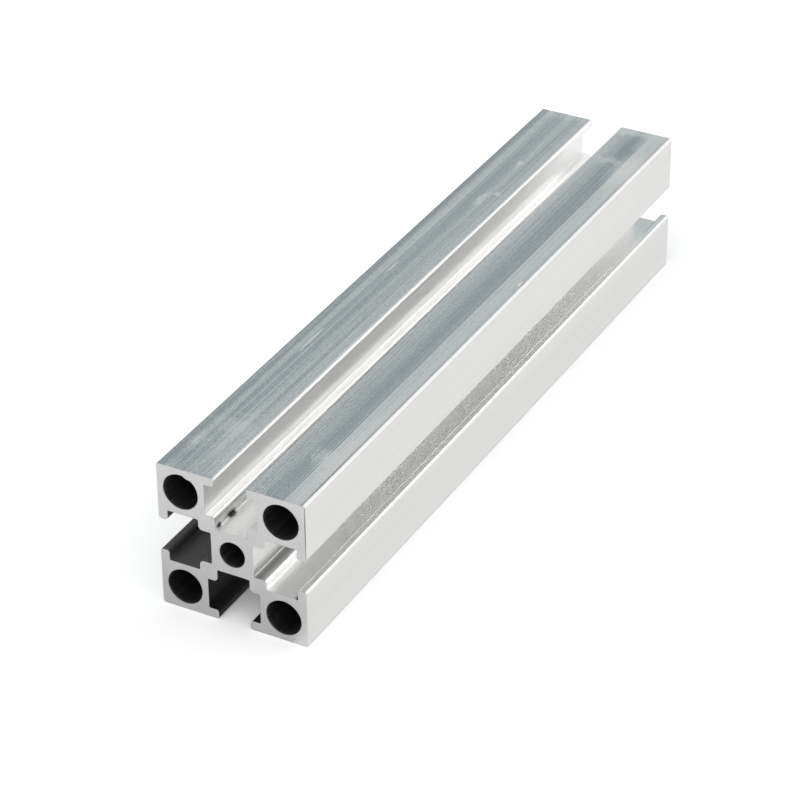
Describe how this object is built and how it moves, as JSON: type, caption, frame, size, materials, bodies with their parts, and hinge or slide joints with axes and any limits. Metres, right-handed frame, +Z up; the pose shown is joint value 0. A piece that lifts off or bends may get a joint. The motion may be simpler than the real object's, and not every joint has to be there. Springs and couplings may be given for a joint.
{
  "type": "aluminium extrusion profile",
  "caption": "Square T-slot aluminium framing profile, a short sawn length with a slot along every side, a bore in each corner block and a core hole through its hub.",
  "frame": {"origin": "middle of the side that the bar rests on", "axes": "+Y along the bar, away from the pictured end; +X to the right seen from that end; +Z up"},
  "size_m": [0.04, 0.205, 0.04],
  "materials": {
    "aluminium": "as extruded, with fine die lines along the bar and matt saw-cut ends"
  },
  "bodies": {
    "root": {"profile_bar": "aluminium"}
  },
  "joints": []
}
